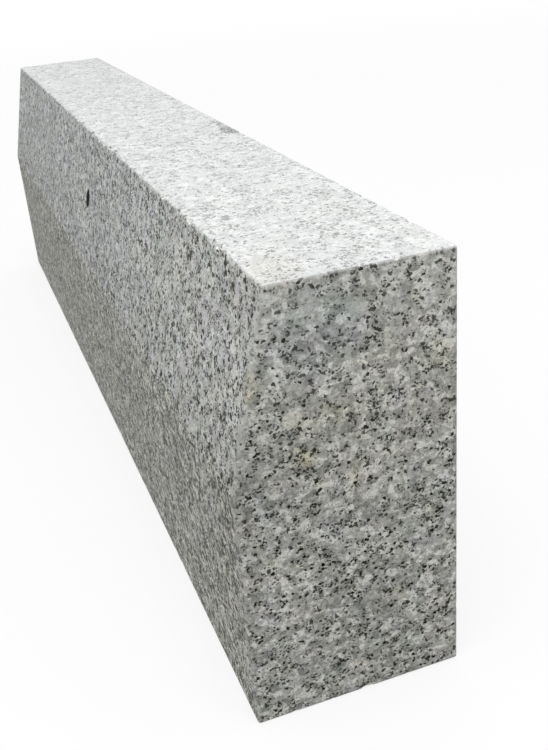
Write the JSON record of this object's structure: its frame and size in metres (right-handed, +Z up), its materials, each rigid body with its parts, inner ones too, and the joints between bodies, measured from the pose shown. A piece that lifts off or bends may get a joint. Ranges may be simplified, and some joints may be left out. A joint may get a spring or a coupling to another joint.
{
  "type": "half-battered granite kerb stone",
  "caption": "Long sawn granite kerb stone with a flat bed, upright back, flat top and a kerb face that leans back in its upper part.",
  "frame": {"origin": "middle of the bed face, on the surface that the stone stands on", "axes": "+X along the length, +Y out of the upright back face, -Y out of the battered kerb face, +Z up"},
  "size_m": [0.915, 0.125, 0.255],
  "materials": {
    "granite": "fine sawn, light grey with white feldspar, grey quartz and small black mica specks"
  },
  "bodies": {
    "root": {"kerb_stone": "granite"}
  },
  "joints": []
}
